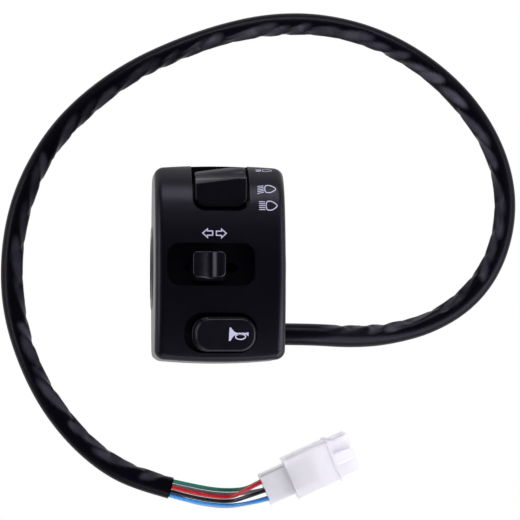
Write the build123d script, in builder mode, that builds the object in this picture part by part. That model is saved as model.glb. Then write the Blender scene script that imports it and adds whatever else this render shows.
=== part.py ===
"""Left-hand handlebar switch cluster with its lead and plug.

X runs along the handlebar, Y up the face of the switch and Z out of the face, towards the rider.
The origin is on the handlebar's axis, in the middle of the clamp. All lengths are in millimetres.
"""

import math
import os

from build123d import *

os.makedirs("parts", exist_ok=True)

# Handlebar clamp
bar_diameter = 22.2
bar_clearance = 0.05
channel_wall = 2.6
collar_radius = 14.6
collar_height = 1.1
collar_bevel = 0.8

# Outline and section of the two halves
housing_width = 44.4
housing_top = 34.3
housing_bottom = 32.7
outline_crown = 1.2
corner_radius = 4.0
front_depth = 35.0
crown_drop = 3.7
face_radius = 75.5
shoulder_start = 20.0
shoulder_overhang = 0.6
rear_depth = 16.5
rear_radius = 21.0
rear_overhang = 0.2
side_draft = 1.5
front_edge_radius = 3.0
rear_edge_radius = 2.0
wall = 2.4
seam_bevel = 0.3

# Clearances and overruns
fit_gap = 0.05
slide_gap = 0.1
body_gap = 0.3
overrun = 1.0
facing_share = 0.3

# Clamp screws
clamp_screw_y = 21.5
clamp_screw_diameter = 5.0
clamp_hole_diameter = 5.5
clamp_head_diameter = 8.8
clamp_head_height = 3.0
clamp_seat_depth = 10.4
clamp_boss_radius = 5.0
clamp_boss_height = 9.5
rear_boss_radius = 6.4
boss_rib_width = 5.0
insert_radius = 3.2
insert_length = 7.5
insert_start = 1.0
screw_point = 0.6
recess_arm = 1.2
recess_depth = 1.4

# Beam rocker
rocker_x = 0.25
rocker_width = 17.0
rocker_side_gap = 0.95
rocker_opening_bottom = 17.5
rocker_opening_floor = 14.5
rocker_opening_corner = 4.2
rocker_corner = 3.4
rocker_pivot_y = 17.0
rocker_pivot_z = 17.5
rocker_skirt_radius = 11.0
rocker_skirt_wall = 1.5
rocker_pin_diameter = 2.5
rocker_hub_radius = 2.8
rocker_cheek_wall = 1.6
rocker_arm_length = 4.8
rocker_arm_thickness = 1.2
rocker_arm_width = 6.0
rocker_ridge_y = 27.85
rocker_ridge_z = 30.8
rocker_ridge_slant = 2.3
rocker_lip_angle = 82.0
rocker_lip_radius = 12.9
rocker_back_angle = 12.0
rocker_back_radius = 15.9
rocker_skirt_start = -14.0
rocker_skirt_end = 106.0
rocker_ridge_radius = 0.8
rocker_scoop_radius = 5.0
rocker_scoop_depth = 1.5
rocker_scoop_length = 12.7

# Beam switch base and slider
beam_base_floor = 10.2
beam_base_thickness = 1.8
beam_base_bottom = 11.6
beam_base_top = 29.0
beam_cheek_gap = 0.5
beam_cheek_wall = 1.8
beam_cheek_half = 5.0
beam_cheek_top = 4.0
beam_post_offset = 14.6
beam_post_y = 24.0
beam_slider_length = 8.0
beam_slider_width = 15.0
beam_slider_height = 1.6
beam_groove_depth = 1.4
beam_groove_gap = 0.4
beam_contact_x = 6.0
beam_contact_pitch = 2.7
rivet_radius = 0.8
rivet_head_radius = 1.15
rivet_tail = 1.2
blade_thickness = 0.5
blade_width = 2.2

# Turn switch
turn_x = -3.2
turn_y = -0.1
turn_recess_length = 28.5
turn_recess_height = 14.0
turn_recess_corner = 4.0
turn_recess_floor = 30.4
turn_floor_thickness = 2.0
turn_recess_wall = 1.6
slot_x = -3.05
slot_y = -1.1
slot_length = 18.5
slot_height = 3.5
slot_point = 2.0
knob_x = -3.95
knob_y = -1.0
knob_width = 10.7
knob_height = 10.6
knob_lift = 2.0
knob_thickness = 4.6
knob_corner = 1.6
knob_lower_slope = 2.0
knob_upper_slope = 0.3
knob_profile_shares = [
    (-0.1, 0.86), (0.12, 1.0), (0.35, 0.88), (0.57, 0.74), (0.72, 0.96), (0.84, 1.04), (1.1, 0.86),
]
knob_edge_radius = 0.45
knob_stem_width = 3.2
knob_stem_height = 2.8
knob_travel = 1.6
stem_gap = 0.15
cancel_spring_length = 2.8
spring_outer = 1.15
spring_inner = 0.7
turn_travel = 4.5
carriage_length = 12.0
carriage_width = 8.0
carriage_top_gap = 0.3
carriage_bore_bottom = 22.5
turn_base_length = 25.0
turn_base_width = 13.0
turn_base_bottom = 16.0
turn_base_floor = 2.0
turn_base_wall = 1.5
turn_ear_reach = 9.6
turn_ear_thickness = 1.8
turn_ear_x = 8.5
turn_ear_level = 24.0
detent_ball_radius = 1.2
detent_ball_proud = 0.8
detent_groove_depth = 0.8
detent_notch_depth = 0.45
detent_bore_depth = 3.4
detent_x = 3.8
detent_level = 24.0
turn_strip_width = 1.6
turn_strip_pitch = 2.6
turn_strip_thickness = 0.5
turn_pad_height = 0.4
turn_pad_length = 2.4
turn_tag_length = 2.4

# Horn button and switch
horn_tilt = 12.0
horn_x = 1.05
horn_y = -22.75
horn_button_length = 21.0
horn_button_height = 11.4
horn_button_corner = 5.2
horn_well_x = 0.0
horn_well_y = 0.3
horn_well_length = 23.8
horn_well_height = 13.6
horn_well_corner = 6.2
horn_well_depth = 2.6
horn_floor_thickness = 1.8
horn_rim_wall = 1.4
horn_button_proud = 2.0
horn_bevel_height = 1.1
horn_top_inset = 0.6
horn_top_left_inset = 2.1
horn_top_edge = 0.4
horn_button_gap = 0.35
horn_flange = 1.0
horn_flange_thickness = 1.3
horn_button_shell = 1.6
horn_stem_radius = 2.0
horn_travel = 2.2
horn_base_depth = 14.9
horn_base_thickness = 1.7
horn_base_length = 25.0
horn_base_width = 10.0
horn_post_offset = 15.4
horn_bridge_radius = 2.6
horn_spring_wire = 0.7
horn_spring_radius = 3.3
horn_contact_offset = 1.5
horn_contact_gap = 0.1
horn_contact_proud = 0.6

# Small self-tapping screws and the posts that they go into
post_radius = 2.3
tapping_radius = 1.0
tapping_head_radius = 1.9
tapping_head_height = 1.2
tapping_length = 6.0
ear_radius = 2.6

# Cord, grommet and leads
sheath_diameter = 7.6
sheath_start = 18.2
cord_exit_y = -22.5
grommet_wall = 0.8
grommet_flange = 1.1
grommet_flange_length = 1.4
lead_diameter = 1.4
bend_share = 0.45

# Plug
plug_angle = 24.0
plug_rear_right = 18.2
plug_rear_below = 76.9
plug_rear_drop = 10.2
plug_rear_length = 9.6
plug_rear_width = 11.3
plug_rear_height = 9.0
plug_hood_width = 15.2
plug_hood_height = 11.6
plug_hood_length = 16.1
plug_rim_length = 1.0
plug_rim_step = 0.5
plug_nose_length = 6.8
plug_nose_step = 0.5
plug_hood_wall = 1.3
plug_web = 2.0
plug_corner = 0.9
plug_column_pitch = 3.2
plug_row_pitch = 4.0
plug_channel_width = 2.5
plug_channel_height = 2.1
plug_latch_width = 4.0
plug_latch_length = 7.0
plug_latch_height = 1.0
crimp_inset = 1.0
terminal_width = 2.2
terminal_height = 1.7
tab_width = 2.0
tab_thickness = 0.7
tab_length = 7.5

# Sizes that follow from those above
bore_radius = bar_diameter / 2 + bar_clearance
channel_radius = bore_radius + channel_wall
half_width = housing_width / 2
face_centre_z = front_depth - face_radius
shoulder_lean = (shoulder_start + crown_drop) / face_radius
shoulder_rise = math.sqrt(1 - shoulder_lean**2)
shoulder_radius = (housing_top + shoulder_overhang - shoulder_start) / (1 - shoulder_lean)
shoulder_y = shoulder_start - shoulder_lean * shoulder_radius
shoulder_z = face_centre_z + (face_radius - shoulder_radius) * shoulder_rise
rear_centre_z = rear_radius - rear_depth
rear_top_y = housing_top + rear_overhang - rear_radius
rear_bottom_y = rear_radius - housing_bottom - rear_overhang
table_level = -rear_depth


def face_height(y, inset=0):
    """Height over the bar's axis of the face, or of a surface inset below it, at y."""
    return face_centre_z + math.sqrt((face_radius - inset) ** 2 - (y + crown_drop) ** 2)


def plan_outline(inset):
    """Outline of both halves seen from the rider, crowned at top and bottom."""
    side = half_width - inset
    top = housing_top - inset
    bottom = inset - housing_bottom
    with BuildSketch() as outline:
        with BuildLine():
            lower = ThreePointArc((-side, bottom + outline_crown), (0, bottom), (side, bottom + outline_crown))
            upper = ThreePointArc((side, top - outline_crown), (0, top), (-side, top - outline_crown))
            Line(lower @ 1, upper @ 0)
            Line(upper @ 1, lower @ 0)
        make_face()
        fillet(outline.vertices(), max(corner_radius - inset, corner_radius / 4))
    return outline.sketch


def front_section(inset):
    """Side view of the front half: the crowned face, the round shoulder and the parting plane."""
    far = housing_bottom + overrun
    face = face_radius - inset
    shoulder = shoulder_radius - inset
    tangent = (shoulder_y + shoulder * shoulder_lean, shoulder_z + shoulder * shoulder_rise)
    mid_angle = math.asin(shoulder_rise) / 2
    with BuildSketch(Plane.YZ) as section:
        with BuildLine():
            crown = ThreePointArc(
                (-far, face_height(-far, inset)),
                (-crown_drop, face_centre_z + face),
                tangent,
            )
            round_over = ThreePointArc(
                tangent,
                (shoulder_y + shoulder * math.cos(mid_angle), shoulder_z + shoulder * math.sin(mid_angle)),
                (shoulder_y + shoulder, shoulder_z),
            )
            Polyline(round_over @ 1, (shoulder_y + shoulder, 0), (-far, 0), crown @ 0)
        make_face()
    return section.sketch


def rear_section(inset):
    """Side view of the rear half: two round shoulders and the flat land that it rests on."""
    radius = rear_radius - inset
    spread = math.sqrt(radius**2 - rear_centre_z**2)
    low = rear_centre_z - radius
    slant = radius * math.sqrt(0.5)
    with BuildSketch(Plane.YZ) as section:
        with BuildLine():
            upper = ThreePointArc(
                (rear_top_y + spread, 0),
                (rear_top_y + slant, rear_centre_z - slant),
                (rear_top_y, low),
            )
            lower = ThreePointArc(
                (rear_bottom_y, low),
                (rear_bottom_y - slant, rear_centre_z - slant),
                (rear_bottom_y - spread, 0),
            )
            Line(upper @ 1, lower @ 0)
            Line(lower @ 1, upper @ 0)
        make_face()
    return section.sketch


def rim_edges(shape, lowest, highest):
    """Edges between two levels, apart from straight ones that run along the bar."""
    edges = ShapeList()
    for edge in shape.edges():
        box = edge.bounding_box()
        along_bar = edge.geom_type == GeomType.LINE and abs(edge.tangent_at(0).X) > math.sqrt(0.5)
        if lowest < box.min.Z and box.max.Z < highest and not along_bar:
            edges.append(edge)
    return edges


# Collars: a low round boss on each side, where the handlebar goes in
with BuildPart() as collars:
    with BuildSketch(Plane.YZ):
        Circle(collar_radius)
    extrude(amount=half_width + collar_height, both=True)
    chamfer(collars.edges(), collar_bevel)

# Front envelope: the outside of the front half, closed
with BuildPart() as front_envelope:
    extrude(plan_outline(0), amount=front_depth + overrun, taper=side_draft)
    extrude(front_section(0), amount=housing_width, both=True, mode=Mode.INTERSECT)
    fillet(rim_edges(front_envelope, bore_radius, front_depth + overrun), front_edge_radius)
    chamfer(front_envelope.faces().sort_by(Axis.Z)[0].edges(), seam_bevel)
    add(collars.part)
    split(bisect_by=Plane.XY, keep=Keep.TOP)

# Rear envelope: the outside of the rear half, closed
with BuildPart() as rear_envelope:
    extrude(plan_outline(0), amount=rear_depth + overrun, dir=(0, 0, -1), taper=side_draft)
    extrude(rear_section(0), amount=housing_width, both=True, mode=Mode.INTERSECT)
    fillet(rim_edges(rear_envelope, -rear_depth - overrun, -overrun), rear_edge_radius)
    chamfer(rear_envelope.faces().sort_by(Axis.Z)[-1].edges(), seam_bevel)
    add(collars.part)
    split(bisect_by=Plane.XY, keep=Keep.BOTTOM)

horn_plane = Plane(
    origin=(0, horn_y, face_height(horn_y)),
    x_dir=(1, 0, 0),
    z_dir=(0, -math.sin(math.radians(horn_tilt)), math.cos(math.radians(horn_tilt))),
)
horn_floor_level = -horn_well_depth - horn_floor_thickness
turn_pad_top = turn_base_bottom + turn_base_floor + turn_strip_thickness + turn_pad_height
carriage_bottom = turn_pad_top + slide_gap + blade_thickness
turn_base_top = turn_recess_floor - turn_floor_thickness
ear_places = [(knob_x - turn_ear_x, slot_y + turn_ear_reach), (knob_x + turn_ear_x, slot_y - turn_ear_reach)]
beam_posts = [(rocker_x - beam_post_offset, beam_post_y), (rocker_x + beam_post_offset, beam_post_y)]
beam_plate_top = beam_base_floor + beam_base_thickness
turn_post_level = turn_ear_level + turn_ear_thickness
grommet_bore = sheath_diameter / 2 + slide_gap
grommet_radius = grommet_bore + grommet_wall
clamp_places = [(0, clamp_screw_y), (0, -clamp_screw_y)]

# Inside of the front half
with BuildPart() as front_cavity:
    extrude(plan_outline(wall), amount=front_depth, taper=side_draft)
    extrude(front_section(wall), amount=housing_width, both=True, mode=Mode.INTERSECT)

# Front housing: a moulded shell with the bar channel, screw bosses, the turn tray, the horn cup and
# the posts that the three switch bases are screwed to
with BuildPart() as front_housing:
    add(front_envelope.part)
    add(front_cavity.part, mode=Mode.SUBTRACT)
    with BuildSketch(Plane.YZ):
        Circle(channel_radius)
        Rectangle(2 * channel_radius, channel_radius, align=(Align.CENTER, Align.MAX), mode=Mode.SUBTRACT)
    extrude(amount=half_width, both=True)
    with BuildSketch(Plane.XY):
        with Locations(*clamp_places):
            Circle(clamp_boss_radius)
        Rectangle(boss_rib_width, 2 * clamp_screw_y)
    extrude(amount=clamp_boss_height)
    with BuildSketch(Plane.XY.offset(turn_base_top)):
        with Locations((turn_x, turn_y)):
            RectangleRounded(
                turn_recess_length + 2 * turn_recess_wall,
                turn_recess_height + 2 * turn_recess_wall,
                turn_recess_corner + turn_recess_wall,
            )
    extrude(amount=front_depth - turn_base_top)
    with BuildSketch(Plane.XY.offset(turn_post_level)):
        with Locations(*ear_places):
            Circle(post_radius)
    extrude(amount=front_depth - turn_post_level)
    with BuildSketch(Plane.XY.offset(beam_plate_top)):
        with Locations(*beam_posts):
            Circle(post_radius)
    extrude(amount=front_depth - beam_plate_top)
    with BuildSketch(horn_plane.offset(horn_floor_level)):
        with Locations((horn_well_x, horn_well_y)):
            RectangleRounded(
                horn_well_length + 2 * horn_rim_wall,
                horn_well_height + 2 * horn_rim_wall,
                horn_well_corner + horn_rim_wall,
            )
    extrude(amount=front_depth - turn_base_top)
    with BuildSketch(horn_plane.offset(-horn_base_depth)):
        with Locations((-horn_post_offset, 0), (horn_post_offset, 0)):
            Circle(post_radius)
    extrude(amount=horn_base_depth)
    add(front_envelope.part, mode=Mode.INTERSECT)
    # Bar bore
    with BuildSketch(Plane.YZ):
        Circle(bore_radius)
    extrude(amount=half_width + collar_height + overrun, both=True, mode=Mode.SUBTRACT)
    # Turn recess and its slot with pointed ends
    with BuildSketch(Plane.XY.offset(turn_recess_floor)):
        with Locations((turn_x, turn_y)):
            RectangleRounded(turn_recess_length, turn_recess_height, turn_recess_corner)
    extrude(amount=front_depth, mode=Mode.SUBTRACT)
    with BuildSketch(Plane.XY.offset(turn_base_top - overrun)):
        with BuildLine():
            Polyline(
                (slot_x - slot_length / 2, slot_y),
                (slot_x - slot_length / 2 + slot_point, slot_y + slot_height / 2),
                (slot_x + slot_length / 2 - slot_point, slot_y + slot_height / 2),
                (slot_x + slot_length / 2, slot_y),
                (slot_x + slot_length / 2 - slot_point, slot_y - slot_height / 2),
                (slot_x - slot_length / 2 + slot_point, slot_y - slot_height / 2),
                close=True,
            )
        make_face()
    extrude(amount=turn_floor_thickness + 2 * overrun, mode=Mode.SUBTRACT)
    # Horn well and the hole in its floor that guides the button
    with BuildSketch(horn_plane.offset(-horn_well_depth)):
        with Locations((horn_well_x, horn_well_y)):
            RectangleRounded(horn_well_length, horn_well_height, horn_well_corner)
    extrude(amount=front_depth, mode=Mode.SUBTRACT)
    with BuildSketch(horn_plane.offset(horn_floor_level - overrun)):
        with Locations((horn_x, 0)):
            RectangleRounded(
                horn_button_length + 2 * horn_button_gap,
                horn_button_height + 2 * horn_button_gap,
                horn_button_corner + horn_button_gap,
            )
    extrude(amount=horn_floor_thickness + 2 * overrun, mode=Mode.SUBTRACT)
    # Rocker opening, over the shoulder and down the top wall
    opening_half = rocker_width / 2 + rocker_side_gap
    opening_top = housing_top + overrun
    with BuildSketch(Plane.XY.offset(rocker_opening_floor)) as opening:
        with BuildLine():
            Polyline(
                (rocker_x - opening_half, opening_top),
                (rocker_x - opening_half, rocker_opening_bottom),
                (rocker_x + opening_half, rocker_opening_bottom),
                (rocker_x + opening_half, opening_top),
                close=True,
            )
        make_face()
        fillet(opening.vertices().group_by(Axis.Y)[0], rocker_opening_corner)
    extrude(amount=front_depth, mode=Mode.SUBTRACT)
    # Seats of the threaded inserts, holes of the small screws, and the notch for the cord
    with BuildSketch(Plane.XY):
        with Locations(*clamp_places):
            Circle(insert_radius + fit_gap)
    extrude(amount=insert_start + insert_length, mode=Mode.SUBTRACT)
    with BuildSketch(Plane.XY.offset(turn_post_level)):
        with Locations(*ear_places):
            Circle(tapping_radius + fit_gap)
    extrude(amount=tapping_length - turn_ear_thickness, mode=Mode.SUBTRACT)
    with BuildSketch(Plane.XY.offset(beam_plate_top)):
        with Locations(*beam_posts):
            Circle(tapping_radius + fit_gap)
    extrude(amount=tapping_length - beam_base_thickness, mode=Mode.SUBTRACT)
    with BuildSketch(horn_plane.offset(-horn_base_depth)):
        with Locations((-horn_post_offset, 0), (horn_post_offset, 0)):
            Circle(tapping_radius + fit_gap)
    extrude(amount=tapping_length - horn_base_thickness, mode=Mode.SUBTRACT)
    with BuildSketch(Plane.YZ.offset(half_width - 2 * wall)):
        with Locations((cord_exit_y, 0)):
            Circle(grommet_radius + fit_gap)
    extrude(amount=2 * wall + overrun, mode=Mode.SUBTRACT)
front_housing.part.label = "front_housing"
export_step(front_housing.part, "parts/front_housing.step")

# Inside of the rear half, on both sides of the solid saddle under the bar
with BuildPart() as rear_cavity:
    extrude(plan_outline(wall), amount=rear_depth, dir=(0, 0, -1), taper=side_draft)
    extrude(rear_section(wall), amount=housing_width, both=True, mode=Mode.INTERSECT)
    Box(
        housing_width, 2 * channel_radius, rear_depth,
        align=(Align.CENTER, Align.CENTER, Align.MAX), mode=Mode.SUBTRACT,
    )

# Rear housing: the clamp half with the counterbored screw bosses
with BuildPart() as rear_housing:
    add(rear_envelope.part)
    add(rear_cavity.part, mode=Mode.SUBTRACT)
    with BuildSketch(Plane.XY):
        with Locations(*clamp_places):
            Circle(rear_boss_radius)
    extrude(amount=-rear_depth)
    add(rear_envelope.part, mode=Mode.INTERSECT)
    with BuildSketch(Plane.YZ):
        Circle(bore_radius)
    extrude(amount=half_width + collar_height + overrun, both=True, mode=Mode.SUBTRACT)
    with BuildSketch(Plane.XY):
        with Locations(*clamp_places):
            Circle(clamp_hole_diameter / 2)
    extrude(amount=-rear_depth, mode=Mode.SUBTRACT)
    with BuildSketch(Plane.XY.offset(-clamp_seat_depth)):
        with Locations(*clamp_places):
            Circle(clamp_head_diameter / 2 + body_gap)
    extrude(amount=-rear_depth, mode=Mode.SUBTRACT)
    with BuildSketch(Plane.YZ.offset(half_width - 2 * wall)):
        with Locations((cord_exit_y, 0)):
            Circle(grommet_radius + fit_gap)
    extrude(amount=2 * wall + overrun, mode=Mode.SUBTRACT)
rear_housing.part.label = "rear_housing"
export_step(rear_housing.part, "parts/rear_housing.step")

# Threaded inserts, pressed into the front bosses
with BuildPart() as screw_inserts:
    with BuildSketch(Plane.XY.offset(insert_start)):
        with Locations(*clamp_places):
            Circle(insert_radius)
            Circle(clamp_screw_diameter / 2 + fit_gap, mode=Mode.SUBTRACT)
    extrude(amount=insert_length)
screw_inserts.part.label = "screw_inserts"
export_step(screw_inserts.part, "parts/screw_inserts.step")

# Clamp screws: cheese head with a cross recess, from the back
with BuildPart() as clamp_screws:
    with BuildSketch(Plane.XY.offset(-clamp_seat_depth - clamp_head_height)):
        with Locations(*clamp_places):
            Circle(clamp_head_diameter / 2)
    extrude(amount=clamp_head_height)
    fillet(clamp_screws.edges().group_by(Axis.Z)[0], screw_point)
    with BuildSketch(Plane.XY.offset(-clamp_seat_depth)):
        with Locations(*clamp_places):
            Circle(clamp_screw_diameter / 2)
    extrude(amount=clamp_seat_depth + insert_start + insert_length - screw_point)
    chamfer(clamp_screws.edges().group_by(Axis.Z)[-1], screw_point)
    with BuildSketch(Plane.XY.offset(-clamp_seat_depth - clamp_head_height)):
        with Locations(*clamp_places):
            Rectangle(clamp_screw_diameter, recess_arm)
            Rectangle(recess_arm, clamp_screw_diameter)
    extrude(amount=recess_depth, mode=Mode.SUBTRACT)
clamp_screws.part.label = "clamp_screws"
export_step(clamp_screws.part, "parts/clamp_screws.step")


def rocker_point(angle, radius):
    """A point of the rocker's side view, from its pivot."""
    return (
        rocker_pivot_y + radius * math.cos(math.radians(angle)),
        rocker_pivot_z + radius * math.sin(math.radians(angle)),
    )


def rocker_wedge(side):
    """The rocker's finger wedge at its left (-1) or right (1) end: the ridge slants along the lower face."""
    inner = rocker_skirt_radius - rocker_skirt_wall / 2
    lip = Vector(*rocker_point(rocker_lip_angle, rocker_lip_radius))
    ridge = Vector(rocker_ridge_y, rocker_ridge_z)
    slant = (ridge - lip).normalized() * (side * rocker_ridge_slant / 2)
    corners = [
        Vector(*rocker_point(rocker_lip_angle, inner)),
        lip,
        ridge + slant,
        Vector(*rocker_point(rocker_back_angle, rocker_back_radius)) + slant,
        Vector(*rocker_point(rocker_back_angle, inner)) + slant,
    ]
    with BuildSketch(Plane.YZ.offset(rocker_x + side * rocker_width / 2)) as wedge:
        with BuildLine():
            Polyline(*[(corner.X, corner.Y) for corner in corners], close=True)
        make_face()
    return wedge.sketch


# Beam rocker: a slanted finger wedge with a scoop, on a round skirt that turns about the pivot pin
pivot = (rocker_pivot_y, rocker_pivot_z)
lip_y = rocker_point(rocker_lip_angle, rocker_lip_radius)[0]
back_y, back_z = rocker_point(rocker_back_angle, rocker_back_radius)
rocker_left = rocker_x - rocker_width / 2
upper_face_run = Vector(0, back_y - rocker_ridge_y, back_z - rocker_ridge_z).normalized()
scoop_tilt = math.degrees(math.atan2(rocker_scoop_depth, rocker_scoop_length))
scoop_plane = Plane(
    origin=(rocker_left, (back_y + rocker_ridge_y) / 2, (back_z + rocker_ridge_z) / 2),
    x_dir=(1, 0, 0),
    z_dir=(0, -upper_face_run.Z, upper_face_run.Y),
).offset(rocker_scoop_radius - rocker_scoop_depth)
with BuildPart() as beam_rocker:
    loft([rocker_wedge(-1).face(), rocker_wedge(1).face()], ruled=True)
    with BuildSketch(Plane.XY) as rocker_plan:
        with BuildLine():
            Polyline(
                (rocker_left, housing_top + overrun),
                (rocker_left, lip_y),
                (rocker_left + rocker_width, lip_y),
                (rocker_left + rocker_width, housing_top + overrun),
                close=True,
            )
        make_face()
        fillet(rocker_plan.vertices().group_by(Axis.Y)[0], rocker_corner)
    extrude(amount=front_depth, mode=Mode.INTERSECT)
    fillet(beam_rocker.edges().sort_by(Axis.Z)[-1], rocker_ridge_radius)
    with Locations(scoop_plane.rotated((0, -scoop_tilt, 0))):
        Cylinder(rocker_scoop_radius, 2 * rocker_width, rotation=(0, 90, 0), mode=Mode.SUBTRACT)
    with BuildSketch(Plane.YZ.offset(rocker_left)):
        with BuildLine():
            rim = CenterArc(pivot, rocker_skirt_radius, rocker_skirt_start, rocker_skirt_end - rocker_skirt_start)
            Polyline(rim @ 1, pivot, rim @ 0)
        make_face()
    extrude(amount=rocker_width)
    with BuildSketch(Plane.YZ.offset(rocker_left + rocker_cheek_wall)):
        with Locations(pivot):
            Circle(rocker_skirt_radius - rocker_skirt_wall)
    extrude(amount=rocker_width - 2 * rocker_cheek_wall, mode=Mode.SUBTRACT)
    with BuildSketch(Plane.YZ.offset(rocker_left)):
        with Locations(pivot):
            Circle(rocker_hub_radius)
    extrude(amount=rocker_width)
    with BuildSketch(Plane.YZ.offset(rocker_x)):
        with Locations((rocker_pivot_y, rocker_pivot_z - rocker_arm_length / 2)):
            SlotOverall(rocker_arm_length, rocker_arm_thickness, rotation=90)
    extrude(amount=rocker_arm_width / 2, both=True)
    with BuildSketch(Plane.YZ):
        with Locations(pivot):
            Circle(rocker_pin_diameter / 2 + fit_gap)
    extrude(amount=housing_width, both=True, mode=Mode.SUBTRACT)
beam_rocker.part.label = "beam_rocker"
export_step(beam_rocker.part, "parts/beam_rocker.step")

# Pivot pin, held in the cheeks of the beam switch base
cheek_inner = rocker_width / 2 + beam_cheek_gap
cheek_outer = cheek_inner + beam_cheek_wall
with BuildPart() as rocker_pivot_pin:
    with BuildSketch(Plane.YZ.offset(rocker_x)):
        with Locations(pivot):
            Circle(rocker_pin_diameter / 2)
    extrude(amount=cheek_outer, both=True)
rocker_pivot_pin.part.label = "rocker_pivot_pin"
export_step(rocker_pivot_pin.part, "parts/rocker_pivot_pin.step")

# Beam switch base: a plate with two cheeks for the pin, and ears for its screws
rivet_x = rocker_x + beam_contact_x
rivet_places = [(rivet_x, rocker_pivot_y + step * beam_contact_pitch) for step in (-1, 0, 1)]
with BuildPart() as beam_switch_base:
    with BuildSketch(Plane.XY.offset(beam_base_floor)):
        with Locations((rocker_x, (beam_base_bottom + beam_base_top) / 2)):
            Rectangle(2 * cheek_outer, beam_base_top - beam_base_bottom)
        with Locations((rocker_x, beam_post_y)):
            SlotOverall(2 * beam_post_offset + 2 * ear_radius, 2 * ear_radius)
        with Locations(*beam_posts):
            Circle(tapping_radius + fit_gap, mode=Mode.SUBTRACT)
        with Locations(*rivet_places):
            Circle(rivet_radius + fit_gap, mode=Mode.SUBTRACT)
    extrude(amount=beam_base_thickness)
    for cheek_x in (rocker_x - cheek_outer, rocker_x + cheek_inner):
        with BuildSketch(Plane.YZ.offset(cheek_x)) as cheek:
            with Locations((rocker_pivot_y, beam_plate_top)):
                Rectangle(
                    2 * beam_cheek_half, rocker_pivot_z + beam_cheek_top - beam_plate_top,
                    align=(Align.CENTER, Align.MIN),
                )
            fillet(cheek.vertices().group_by(Axis.Z)[-1], beam_cheek_half / 2)
            with Locations(pivot):
                Circle(rocker_pin_diameter / 2 + fit_gap, mode=Mode.SUBTRACT)
        extrude(amount=beam_cheek_wall)
    with BuildSketch(Plane.XY.offset(beam_plate_top)):
        with Locations(*rivet_places):
            Circle(rivet_head_radius + fit_gap)
    extrude(amount=-blade_thickness, mode=Mode.SUBTRACT)
beam_switch_base.part.label = "beam_switch_base"
export_step(beam_switch_base.part, "parts/beam_switch_base.step")

# Beam contacts: three rivets, flush with the plate, with tails for the leads
with BuildPart() as beam_contacts:
    with BuildSketch(Plane.XY.offset(beam_plate_top - blade_thickness)):
        with Locations(*rivet_places):
            Circle(rivet_head_radius)
    extrude(amount=blade_thickness)
    with BuildSketch(Plane.XY.offset(beam_base_floor - rivet_tail)):
        with Locations(*rivet_places):
            Circle(rivet_radius)
    extrude(amount=rivet_tail + beam_base_thickness - blade_thickness)
beam_contacts.part.label = "beam_contacts"
export_step(beam_contacts.part, "parts/beam_contacts.step")

# Beam slider: moved by the rocker's arm, with a bronze blade let into its underside
slider_floor = beam_plate_top + slide_gap
groove_half = rocker_arm_thickness / 2 + beam_groove_gap
with BuildPart() as beam_slider:
    with BuildSketch(Plane.XY.offset(slider_floor)):
        with Locations((rocker_x, rocker_pivot_y)):
            RectangleRounded(beam_slider_width, beam_slider_length, rocker_arm_thickness)
    extrude(amount=beam_slider_height)
    with BuildSketch(Plane.XY.offset(slider_floor + beam_slider_height)):
        with Locations((rocker_x, rocker_pivot_y)):
            Rectangle(rocker_arm_width + 2 * beam_groove_gap, 2 * groove_half)
    extrude(amount=-beam_groove_depth, mode=Mode.SUBTRACT)
    with BuildSketch(Plane.XY.offset(slider_floor)):
        with Locations((rivet_x, rocker_pivot_y)):
            Rectangle(blade_width + 2 * fit_gap, 2 * beam_contact_pitch + 2 * fit_gap)
    extrude(amount=blade_thickness, mode=Mode.SUBTRACT)
beam_slider.part.label = "beam_slider"
export_step(beam_slider.part, "parts/beam_slider.step")

with BuildPart() as beam_contact_blade:
    with BuildSketch(Plane.XY.offset(slider_floor)):
        with Locations((rivet_x, rocker_pivot_y)):
            Rectangle(blade_width, 2 * beam_contact_pitch)
    extrude(amount=blade_thickness)
beam_contact_blade.part.label = "beam_contact_blade"
export_step(beam_contact_blade.part, "parts/beam_contact_blade.step")


def tapping_screws(plane, places):
    """Small pan-head screws with a cross recess, driven along the plane's normal."""
    with BuildPart() as screws:
        with BuildSketch(plane.offset(-tapping_head_height)):
            with Locations(*places):
                Circle(tapping_head_radius)
        extrude(amount=tapping_head_height)
        with BuildSketch(plane):
            with Locations(*places):
                Circle(tapping_radius)
        extrude(amount=tapping_length - slide_gap)
        with BuildSketch(plane.offset(-tapping_head_height)):
            with Locations(*places):
                Rectangle(tapping_head_radius, tapping_head_radius / 4)
                Rectangle(tapping_head_radius / 4, tapping_head_radius)
        extrude(amount=tapping_head_height / 2, mode=Mode.SUBTRACT)
    return screws


beam_base_screws = tapping_screws(Plane.XY.offset(beam_base_floor), beam_posts)
beam_base_screws.part.label = "beam_base_screws"
export_step(beam_base_screws.part, "parts/beam_base_screws.step")

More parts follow.
